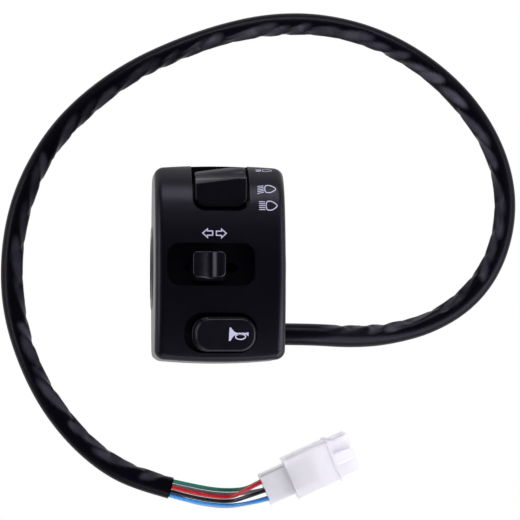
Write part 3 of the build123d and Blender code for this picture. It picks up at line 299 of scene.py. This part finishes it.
def stroke(points, width, closed=False):
    """The two edges of a printed line."""
    line = along(points, stroke_step, closed)
    count = len(line)
    left, right = [], []
    for i, here in enumerate(line):
        before = line[i - 1] if closed or i else here
        after = line[(i + 1) % count] if closed or i < count - 1 else here
        way_in = Vector(here) - Vector(before)
        way_out = Vector(after) - Vector(here)
        way_in = way_in.normalized() if way_in.length else way_out.normalized()
        way_out = way_out.normalized() if way_out.length else way_in
        across = Vector((-(way_in + way_out).y, (way_in + way_out).x)).normalized()
        reach = width / 2 / max(mitre_limit, across.dot(Vector((-way_in.y, way_in.x))))
        left.append(Vector(here) + across * reach)
        right.append(Vector(here) - across * reach)
    if closed:
        left.append(left[0])
        right.append(right[0])
    return left, right


def printed(name, node, body, bands):
    """Prints bands, each between two edges, on the face of a node that looks to the rider."""
    source = nodes[node].data
    surface = BVHTree.FromPolygons([v.co for v in source.vertices], [p.vertices for p in source.polygons])
    verts, faces = [], []
    for left, right in bands:
        start = len(verts)
        for a, b in zip(left, right):
            for share in (0, 0.5, 1):
                x, y = (Vector(a) * (1 - share) + Vector(b) * share) * mm
                hit = surface.ray_cast(Vector((x, y, 0.1)), Vector((0, 0, -1)))[0]
                verts.append((x, y, hit.z + print_lift))
        for i in range(len(left) - 1):
            for j in range(2):
                corner = start + 3 * i + j
                faces.append((corner, corner + 1, corner + 4, corner + 3))
    mesh = bpy.data.meshes.new(name)
    mesh.from_pydata(verts, [], faces)
    mesh.materials.append(white_print.material)
    piece = linked(name, mesh)
    for polygon in mesh.polygons:
        if polygon.normal.z < 0:
            polygon.flip()
    skin = piece.modifiers.new("ink", "SOLIDIFY")
    skin.thickness = print_thickness
    skin.offset = 1
    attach(piece, body)


arrow_left = [
    (-6.0, 10.05), (-4.45, 11.4), (-4.45, 10.75), (-2.75, 10.75), (-2.75, 9.35), (-4.45, 9.35), (-4.45, 8.6),
]
arrow_right = [
    (1.7, 10.0), (0.15, 11.35), (0.15, 10.7), (-1.55, 10.7), (-1.55, 9.3), (0.15, 9.3), (0.15, 8.55),
]
printed("turn_arrows", "front_housing", "housing", [
    stroke(arrow_left, arrow_line, True), stroke(arrow_right, arrow_line, True),
])


def lamp(left, right, top, bottom, width, lean):
    """The headlamp symbol: a bullet outline with five rays at its left, which lean for the low beam."""
    lamp_left = left + 0.4 * (right - left)
    middle, half = (top + bottom) / 2, (top - bottom) / 2
    outline = [
        (lamp_left + share * (right - lamp_left), middle + up * half)
        for share, up in (
            (0.06, 0.78), (0.28, 0.97), (0.62, 0.8), (1, 0),
            (0.62, -0.8), (0.28, -0.97), (0.06, -0.78), (0, 0),
        )
    ]
    bands = [stroke(rounded(outline), width, True)]
    for ray in range(5):
        height = top - (0.08 + 0.21 * ray) * (top - bottom)
        drop = lean * (1 + 0.4 * ray)
        bands.append(stroke([(left, height - drop), (lamp_left - 0.35, height)], width * 0.8))
    return bands


# Low beam, high beam and pass, each by its left, right, top, bottom, line width and lean
printed("lamp_symbols", "front_housing", "housing", [
    *lamp(12.3, 18.35, 26.35, 23.75, 0.32, 0.2),
    *lamp(12.6, 18.55, 20.9, 17.75, 0.34, 0.0),
    *lamp(12.3, 17.7, 32.35, 31.45, 0.13, 0.04),
])

# The horn is a bell between two edges, with a loop through its tube
bell = (
    [(2.7, -20.65), (3.2, -20.75), (3.6, -21.3), (4.2, -21.95), (4.9, -22.35), (8.1, -22.4), (8.9, -22.15)],
    [(2.5, -25.0), (3.1, -24.95), (3.45, -24.25), (4.0, -23.5), (4.9, -22.95), (8.1, -22.9), (8.9, -23.5)],
)
loop_turns = [step * math.tau / 24 for step in range(24)]
loop = [(6.3 + 1.65 * math.cos(turn), -23.65 + 0.85 * math.sin(turn)) for turn in loop_turns]
printed("horn_symbol", "horn_button", "horn_button", [bell, stroke(loop, 0.38, True)])

# Cord sleeve: a soft black PVC tube over the six leads. It leaves the grommet straight, drops to the
# table and runs round in a loop. Its outer side is taut and smooth, and its inner side is creased,
# with a pale painted highlight on its flats.
sleeve_route = [
    (18.2, -22.5, 0.0), (32.5, -22.5, 0.0), (47.5, -23.4, -5.4), (62.0, -22.5, -10.6), (77.0, -18.9, -12.7),
    (90.2, -10.9, -12.7), (99.8, 0.9, -12.7), (104.9, 15.9, -12.7), (105.0, 32.0, -12.7), (99.6, 48.0, -12.7),
    (88.6, 63.2, -12.7), (74.2, 75.6, -12.7), (57.0, 84.2, -12.7), (38.9, 88.4, -12.7), (20.5, 87.9, -12.7),
    (3.0, 84.2, -12.7), (-13.5, 77.9, -12.7), (-29.6, 70.0, -12.7), (-43.8, 59.2, -12.7),
    (-56.3, 46.0, -12.7), (-65.2, 29.6, -12.7), (-69.9, 11.5, -12.7), (-70.4, -7.0, -12.7),
    (-67.0, -25.0, -12.7), (-59.6, -42.2, -12.7), (-48.6, -57.2, -12.7), (-37.2, -67.2, -12.7),
    (-26.0, -72.9, -12.7), (-14.6, -76.2, -12.7),
]


def nurbs_line(name, route, resolution):
    """A curve object with one NURBS spline on the route's points, in metres."""
    curve = bpy.data.curves.new(name, "CURVE")
    curve.dimensions = "3D"
    curve.resolution_u = resolution
    spline = curve.splines.new("NURBS")
    spline.points.add(len(route) - 1)
    for point, place in zip(spline.points, route):
        point.co = (*[value * mm for value in place], 1)
    spline.order_u = 3
    spline.use_endpoint_u = True
    return linked(name, curve)


def followed(line):
    """The points along a curve with no bevel, and the curve is removed."""
    points = [v.co.copy() for v in bpy.data.meshes.new_from_object(line).vertices]
    curve = line.data
    bpy.data.objects.remove(line)
    bpy.data.curves.remove(curve)
    return points


def spaced(points, step):
    """The same line with its points step apart, its ends kept."""
    total = sum((b - a).length for a, b in zip(points, points[1:]))
    count = max(2, round(total / step))
    result, travelled, index = [], 0.0, 0
    for i in range(count + 1):
        target = total * i / count
        while index < len(points) - 2 and travelled + (points[index + 1] - points[index]).length < target:
            travelled += (points[index + 1] - points[index]).length
            index += 1
        run = points[index + 1] - points[index]
        result.append(points[index] + run * min(1.0, (target - travelled) / run.length))
    return result, total


sleeve_radius = 3.8 * mm
sleeve_sides = 32
table_top = -16.5 * mm
sleeve_line, sleeve_length = spaced(followed(nurbs_line("sleeve_line", sleeve_route, 24)), 0.8 * mm)

# Each flat has its place along the sleeve, its reach, side, twist and depth, and how strong its
# painted highlight is. Past the halving point the painted highlight is only half as strong. Both
# ends of the sleeve have no slack and are round.
first_flat = 22 * mm
plain_end = 5 * mm
highlight_halved_from = 215 * mm
slack_start, slack_rise, slack_end = 12 * mm, 18 * mm, 7 * mm
full_press = 0.12
crease_width, crease_depth = 1.1 * mm, 0.42 * mm
wander = 0.09
dice = random.Random(7)
flats = []
position = first_flat
while position < sleeve_length - plain_end:
    stretch = dice.uniform(6.5, 15.0) * mm
    flats.append((
        position, 0.72 * stretch, dice.uniform(0.5, 1.0), dice.uniform(-0.95, -0.35),
        dice.uniform(0.11, 0.2), dice.uniform(0.3, 1.0) * (1.0 if position < highlight_halved_from else 0.5),
    ))
    position += stretch


def sleeve_skin(s, angle):
    """The sleeve's radius at s along it and an angle up from its inner side, and the share of painted
    highlight where a flat presses in.
    """
    slack_here = min(1.0, max(0.0, (s - slack_start) / slack_rise))
    slack = slack_here * min(1.0, max(0.0, (sleeve_length - s) / slack_end))
    radius, fold, highlight_share = sleeve_radius, 0.0, 0.0
    for at, reach, side, twist, depth, highlight_strength in flats:
        u = (s - at) / reach
        if abs(u) > 1.25:
            continue
        turn = math.remainder(angle - side - twist * u, math.tau)
        if abs(turn) < 1.2:
            flat = sleeve_radius * (1 - depth * slack * (1 - u * u)) / math.cos(turn)
            if flat < radius:
                pressed = (sleeve_radius - flat) / (full_press * sleeve_radius)
                # Painted highlight: the further a flat is pressed in, the paler it is painted.
                highlight_share = highlight_strength * min(1.0, pressed) * (0.65 - 0.35 * u)
            radius = min(radius, flat)
        crease = (s - at - reach * (0.85 + 0.3 * turn)) / crease_width
        fold -= crease_depth * math.exp(-crease * crease) * math.exp(-((turn / 0.75) ** 2))
    along_mm = s / mm
    slow = (
        math.sin(along_mm / 11.3) + 0.7 * math.sin(along_mm / 6.1 + 1.3)
        + 0.5 * math.sin(along_mm / 23.7 + 0.4)
    )
    return radius + slack * (fold + wander * slow * math.cos(2 * angle) * mm), highlight_share


def sleeve_surface():
    """The sleeve's closed mesh, with its hollow mouth, and the painted highlight on its flats in an
    attribute.
    """
    verts, faces, highlight_shares = [], [], []
    step_length = sleeve_length / (len(sleeve_line) - 1)
    for i, centre in enumerate(sleeve_line):
        before = sleeve_line[max(0, i - 1)]
        after = sleeve_line[min(len(sleeve_line) - 1, i + 1)]
        ahead = (after - before).normalized()
        inward = Vector((0, 0, 1)).cross(ahead).normalized()
        above = ahead.cross(inward)
        for k in range(sleeve_sides):
            angle = math.tau * k / sleeve_sides
            radius, highlight_share = sleeve_skin(i * step_length, angle)
            highlight_shares.append(highlight_share)
            spot = centre + (inward * math.cos(angle) + above * math.sin(angle)) * radius
            spot.z = max(spot.z, table_top)
            verts.append(spot)

    # The mouth has a rim as thick as the tube's wall and a floor 3 mm inside it.
    rings = len(sleeve_line)
    mouth_axis = (sleeve_line[-1] - sleeve_line[-2]).normalized()
    for depth, share in ((0.0, 0.86), (3.0 * mm, 0.84)):
        for k in range(sleeve_sides):
            rim = verts[(rings - 1) * sleeve_sides + k]
            verts.append(sleeve_line[-1] + (rim - sleeve_line[-1]) * share - mouth_axis * depth)
    for i in range(rings + 1):
        for k in range(sleeve_sides):
            a, b = i * sleeve_sides + k, i * sleeve_sides + (k + 1) % sleeve_sides
            faces.append((a, b, b + sleeve_sides, a + sleeve_sides))
    faces.append(tuple(range((rings + 1) * sleeve_sides, (rings + 2) * sleeve_sides)))
    faces.append(tuple(reversed(range(sleeve_sides))))
    mesh = bpy.data.meshes.new("cord_sleeve")
    mesh.from_pydata([tuple(v) for v in verts], [], faces)
    mesh.validate()
    painted_highlight = mesh.attributes.new("painted_highlight", "FLOAT", "POINT")
    painted_highlight.data.foreach_set("value", highlight_shares + [0.0] * (len(verts) - len(highlight_shares)))
    return mesh


sleeve = linked("cord_sleeve", sleeve_surface())
smooth(sleeve.data, 60)
pvc = Finish(
    "black_pvc", (0.002, 0.002, 0.003), 0.24, 0.16, 240,
    Specular_IOR_Level=0.09, Specular_Tint=(0.84, 0.8, 1.0, 1),
)
# The pale colour on the flats is a painted highlight. The mesh attribute, broken up by noise, blends the
# black towards a pale grey.
highlight_mask = pvc.node("ShaderNodeAttribute", {"attribute_name": "painted_highlight"}, {}, "Fac")
pvc.set("Base Color", pvc.blend(highlight_mask * pvc.noise(130), (0.0018, 0.0015, 0.003), (0.2, 0.19, 0.25)))
pvc.bump(pvc.noise(420, 3), 0.00015, 0.3)
sleeve.data.materials.append(pvc.material)
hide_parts("cord_sheath")
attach(sleeve, "housing")

# Leads: six thin stranded wires in coloured PVC, green, grey, red, black, blue and brown. They come
# out of the sleeve in two layers, lie on the table and climb into the plug's channels.
lead_colours = {
    "green": (0.02, 0.2, 0.13), "grey": (0.2, 0.21, 0.25), "brown": (0.14, 0.05, 0.06),
    "red": (0.55, 0.006, 0.015), "black": (0.003, 0.003, 0.004), "blue": (0.05, 0.28, 0.72),
}
lead_routes = {
    "green": [
        (-13.71, -73.86, -13.5), (-6.85, -75.55, -15.0), (1.05, -77.1, -15.75), (7.0, -77.35, -15.75),
        (12.0, -76.7, -13.6), (16.9, -73.98, -12.2), (17.81, -73.57, -12.2),
    ],
    "grey": [
        (-14.13, -75.3, -13.5), (-7.25, -77.0, -15.0), (0.8, -78.6, -15.75), (7.0, -78.9, -15.75),
        (12.6, -78.1, -13.6), (18.2, -76.9, -12.2), (19.11, -76.49, -12.2),
    ],
    "brown": [
        (-15.05, -78.47, -13.5), (-8.4, -80.95, -15.0), (0.3, -82.7, -15.75), (7.0, -83.0, -15.75),
        (13.6, -81.6, -13.6), (19.5, -79.82, -12.2), (20.41, -79.42, -12.2),
    ],
    "red": [
        (-14.3, -75.88, -11.9), (-7.5, -77.85, -13.2), (0.65, -79.45, -14.2), (7.0, -79.75, -14.2),
        (11.4, -76.9, -9.6), (16.9, -73.98, -8.2), (17.81, -73.57, -8.2),
    ],
    "black": [
        (-14.7, -77.27, -11.9), (-7.9, -79.3, -13.2), (0.4, -80.9, -14.2), (7.0, -81.2, -14.2),
        (12.3, -79.0, -9.6), (18.2, -76.9, -8.2), (19.11, -76.49, -8.2),
    ],
    "blue": [
        (-15.11, -78.66, -11.9), (-8.3, -80.75, -13.2), (0.15, -82.35, -14.2), (7.0, -82.65, -14.2),
        (13.4, -81.3, -9.6), (19.5, -79.82, -8.2), (20.41, -79.42, -8.2),
    ],
}
for colour, route in lead_routes.items():
    insulation = Finish(f"{colour}_insulation", lead_colours[colour], 0.26, 0.14, 500)
    insulation.bump(insulation.noise(1400), 0.00001, 0.5)
    _, lead_length = spaced(followed(nurbs_line("measure", route, 12)), mm)
    lead = nurbs_line(f"wire_{colour}", route, 12)
    lead.data.bevel_depth = 0.7 * mm
    lead.data.bevel_resolution = 4
    lead.data.use_fill_caps = True
    lead.data.materials.append(insulation.material)
    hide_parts(f"lead_{colour}")
    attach(lead, "housing")
    refinish([f"inner_lead_{colour}"], insulation)
    if colour == "red":
        refinish(["feed_jumper"], insulation)

# Plug: natural white nylon, thin enough that some light passes through its walls. Six terminals are
# pushed in from the back, each crimped on its lead.
nylon = Finish("white_nylon", (0.95, 0.93, 0.97), 0.26, 0.12, 300, Transmission_Weight=0.55, IOR=1.25)
nylon.bump(nylon.noise(900), 0.00002, 0.4)
moulded("connector_housing", nylon, 0.3)

# Metal inside: zinc plated screws, brass inserts and strips, bronze blades and tinned terminals. Each
# CAD piece keeps its shape and gets the finish of its metal. The turn strips are coloured a dark brown.
metals = {
    "zinc_steel": ((0.55, 0.55, 0.53), 0.34, [
        "clamp_screws", "rocker_pivot_pin", "beam_base_screws", "turn_base_screws", "horn_base_screws",
    ]),
    "rolled_brass": ((0.72, 0.53, 0.22), 0.3, ["screw_inserts", "beam_contacts", "horn_contacts"]),
    "dark_brass": ((0.09, 0.06, 0.03), 0.5, ["turn_contacts"]),
    "sprung_bronze": ((0.68, 0.42, 0.22), 0.32, [
        "beam_contact_blade", "turn_bridge_contact", "horn_bridge_contact",
    ]),
    "tinned_brass": ((0.6, 0.56, 0.46), 0.35, ["connector_terminals"]),
    "bright_steel": ((0.6, 0.6, 0.61), 0.2, ["detent_ball"]),
}
for name, (colour, roughness, members) in metals.items():
    refinish(members, Finish(name, colour, roughness, 0.12, 900, Metallic=1.0))

# Switch bases and sliders: the bases are dark phenolic, the beam slider is natural acetal and the turn
# carriage, which shows in its slot, is black acetal. The grommet is black rubber.
plain = {
    "dark_phenolic": ((0.03, 0.024, 0.02), 0.5, ["beam_switch_base", "turn_switch_base", "horn_switch_base"]),
    "natural_acetal": ((0.66, 0.64, 0.58), 0.4, ["beam_slider"]),
    "black_acetal": ((0.004, 0.004, 0.005), 0.4, ["turn_carriage"]),
    "grommet_rubber": ((0.012, 0.012, 0.012), 0.6, ["cord_grommet"]),
}
for name, (colour, roughness, members) in plain.items():
    plastic = Finish(name, colour, roughness)
    plastic.bump(plastic.noise(1200), 0.00002, 0.5)
    refinish(members, plastic)

# Springs: wound steel wire under the horn button, under the turn knob's stem and behind the detent
# ball. One Geometry Nodes tree winds them all, and each takes the place of its plain sleeve.
spring_wire = Finish("spring_wire", (0.5, 0.5, 0.5), 0.22, 0.12, 1500, Metallic=1.0)
coil = bpy.data.node_groups.new("wound_spring", "GeometryNodeTree")
inputs = {}
for label in ("Turns", "Radius", "Height", "Wire Radius", "Finish"):
    kind = "NodeSocketMaterial" if label == "Finish" else "NodeSocketFloat"
    inputs[label] = coil.interface.new_socket(label, in_out="INPUT", socket_type=kind).identifier
coil.interface.new_socket("Geometry", in_out="OUTPUT", socket_type="NodeSocketGeometry")
entry = coil.nodes.new("NodeGroupInput")
spiral = coil.nodes.new("GeometryNodeCurveSpiral")
spiral.inputs["Resolution"].default_value = 24
wire_profile = coil.nodes.new("GeometryNodeCurvePrimitiveCircle")
wire_profile.inputs["Resolution"].default_value = 8
tube = coil.nodes.new("GeometryNodeCurveToMesh")
tube.inputs["Fill Caps"].default_value = True
real = coil.nodes.new("GeometryNodeRealizeInstances")
paint = coil.nodes.new("GeometryNodeSetMaterial")
leave = coil.nodes.new("NodeGroupOutput")
for start, end in (
    (entry.outputs["Turns"], spiral.inputs["Rotations"]),
    (entry.outputs["Radius"], spiral.inputs["Start Radius"]),
    (entry.outputs["Radius"], spiral.inputs["End Radius"]),
    (entry.outputs["Height"], spiral.inputs["Height"]),
    (entry.outputs["Wire Radius"], wire_profile.inputs["Radius"]),
    (spiral.outputs["Curve"], tube.inputs["Curve"]),
    (wire_profile.outputs["Curve"], tube.inputs["Profile Curve"]),
    (tube.outputs["Mesh"], real.inputs["Geometry"]),
    (real.outputs["Geometry"], paint.inputs["Geometry"]),
    (entry.outputs["Finish"], paint.inputs["Material"]),
    (paint.outputs["Geometry"], leave.inputs[0]),
):
    coil.links.new(start, end)


def spring(name, node, body, turns, radius, wire, base, axis, height, joint=None):
    """Winds a spring from base along axis in place of its plain sleeve; given a joint, it gets its own copy
    of its mesh.
    """
    holder = linked(name, bpy.data.meshes.new(name))
    winder = holder.modifiers.new("winder", "NODES")
    winder.node_group = coil
    for label, value in (
        ("Turns", turns), ("Radius", radius * mm), ("Height", (height - wire) * mm),
        ("Wire Radius", wire / 2 * mm), ("Finish", spring_wire.material),
    ):
        winder[inputs[label]] = value
    wound = evaluated_mesh(holder)
    bpy.data.objects.remove(holder)
    turn = Vector((0, 0, 1)).rotation_difference(Vector(axis)).to_matrix().to_4x4()
    lift = Vector(axis).normalized() * wire / 2
    wound.transform(Matrix.Translation((Vector(base) + lift) * mm) @ turn)
    smooth(wound, 60)
    piece = linked(name, wound)
    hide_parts(node)
    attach(piece, body)
    if joint:
        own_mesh(piece)


horn_spring_length, horn_travel = 14.9, 2.2
cancel_spring_length, cancel_travel = 2.8, 1.6
horn_tilt = math.radians(12)
horn_axis = Vector((0, -math.sin(horn_tilt), math.cos(horn_tilt)))
horn_origin = Vector((1.05, -22.75, 32.56))
spring(
    "horn_coil", "horn_spring", "housing", 6.5, 3.3, 0.7, horn_origin - horn_axis * horn_spring_length,
    horn_axis, horn_spring_length, "horn_push",
)
spring(
    "cancel_coil", "cancel_spring", "turn_carriage", 4.5, 0.92, 0.3, (-3.95, -1.1, 22.5), (0, 0, 1),
    cancel_spring_length, "turn_push",
)
spring(
    "detent_coil", "detent_spring", "turn_carriage", 3.5, 0.92, 0.3, (-0.15, -0.5, 24.0), (0, 1, 0), 1.8,
)

# Photo stand: a table under soft light. The camera sees it plain white, without shadows, as in the
# photo, and only scattered rays meet it as pale paper.
floor_reach = 3
floor_gap = 0.01 * mm
floor_mesh = bpy.data.meshes.new("table")
floor_corners = [
    (x * floor_reach, y * floor_reach, table_top - floor_gap)
    for x, y in ((-1, -1), (1, -1), (1, 1), (-1, 1))
]
floor_mesh.from_pydata(floor_corners, [], [(0, 1, 2, 3)])
floor = linked("table", floor_mesh)
paper = Finish("white_paper", (0.85, 0.85, 0.86), 0.9)
glow = paper.tree.nodes.new("ShaderNodeEmission")
scattered = paper.node("ShaderNodeLightPath", {}, {}, "Is Diffuse Ray")
mixed = paper.tree.nodes.new("ShaderNodeMixShader")
paper.join(mixed.inputs[0], 1 - scattered)
paper.tree.links.new(paper.shader.outputs[0], mixed.inputs[1])
paper.tree.links.new(glow.outputs[0], mixed.inputs[2])
paper.tree.links.new(mixed.outputs[0], paper.tree.nodes["Material Output"].inputs["Surface"])
floor_mesh.materials.append(paper.material)

# Light: a dim room and five area lights, four of them near the horizon, so that the black mouldings
# keep dark faces and show a soft line of light at their edges.
world = bpy.data.worlds.new("room")
bpy.context.scene.world = world
world.use_nodes = True
world.node_tree.nodes["Background"].inputs["Color"].default_value = (0.9, 0.92, 1.0, 1)
world.node_tree.nodes["Background"].inputs["Strength"].default_value = 0.06

for name, place, aim, width, height, power in (
    ("top_box", (0.1, 0.85, 0.48), (0.02, 0.0, 0.0), 1.0, 0.4, 7.5),
    ("left_box", (-0.9, 0.05, 0.33), (0.0, 0.0, 0.0), 0.9, 0.35, 5.5),
    ("right_box", (0.9, 0.1, 0.33), (0.0, 0.0, 0.0), 0.9, 0.35, 4.0),
    ("front_box", (0.0, -0.9, 0.33), (0.0, 0.0, 0.0), 0.9, 0.35, 3.0),
    ("plug_box", (0.45, -0.42, 0.26), (0.035, -0.07, 0.0), 0.7, 0.45, 6.0),
):
    box = bpy.data.lights.new(name, "AREA")
    box.shape = "RECTANGLE"
    box.size = width
    box.size_y = height
    box.energy = power
    box.color = (0.95, 0.96, 1.0)
    light = linked(name, box)
    light.location = place
    light.rotation_euler = (Vector(aim) - Vector(place)).to_track_quat("-Z", "Y").to_euler()

# Camera: the photo's view, nearly straight down from 0.6 m above the table, a little from the left.
camera_data = bpy.data.cameras.new("photo_camera")
camera_data.sensor_width = 36
camera_data.lens = 116.7
camera_data.clip_start = 0.01
camera_data.clip_end = 20
camera = linked("photo_camera", camera_data)
camera_place = Vector((-35.12, -27.30, 580.4)) * mm
camera_aim = Vector((17.10, 3.98, -16.5)) * mm
back = (camera_place - camera_aim).normalized()
side = Vector((0, 1, 0)).cross(back).normalized()
up = back.cross(side)
camera.matrix_world = Matrix.Translation(camera_place) @ Matrix((side, up, back)).transposed().to_4x4()
bpy.context.scene.camera = camera
bpy.context.scene.view_settings.view_transform = "Standard"
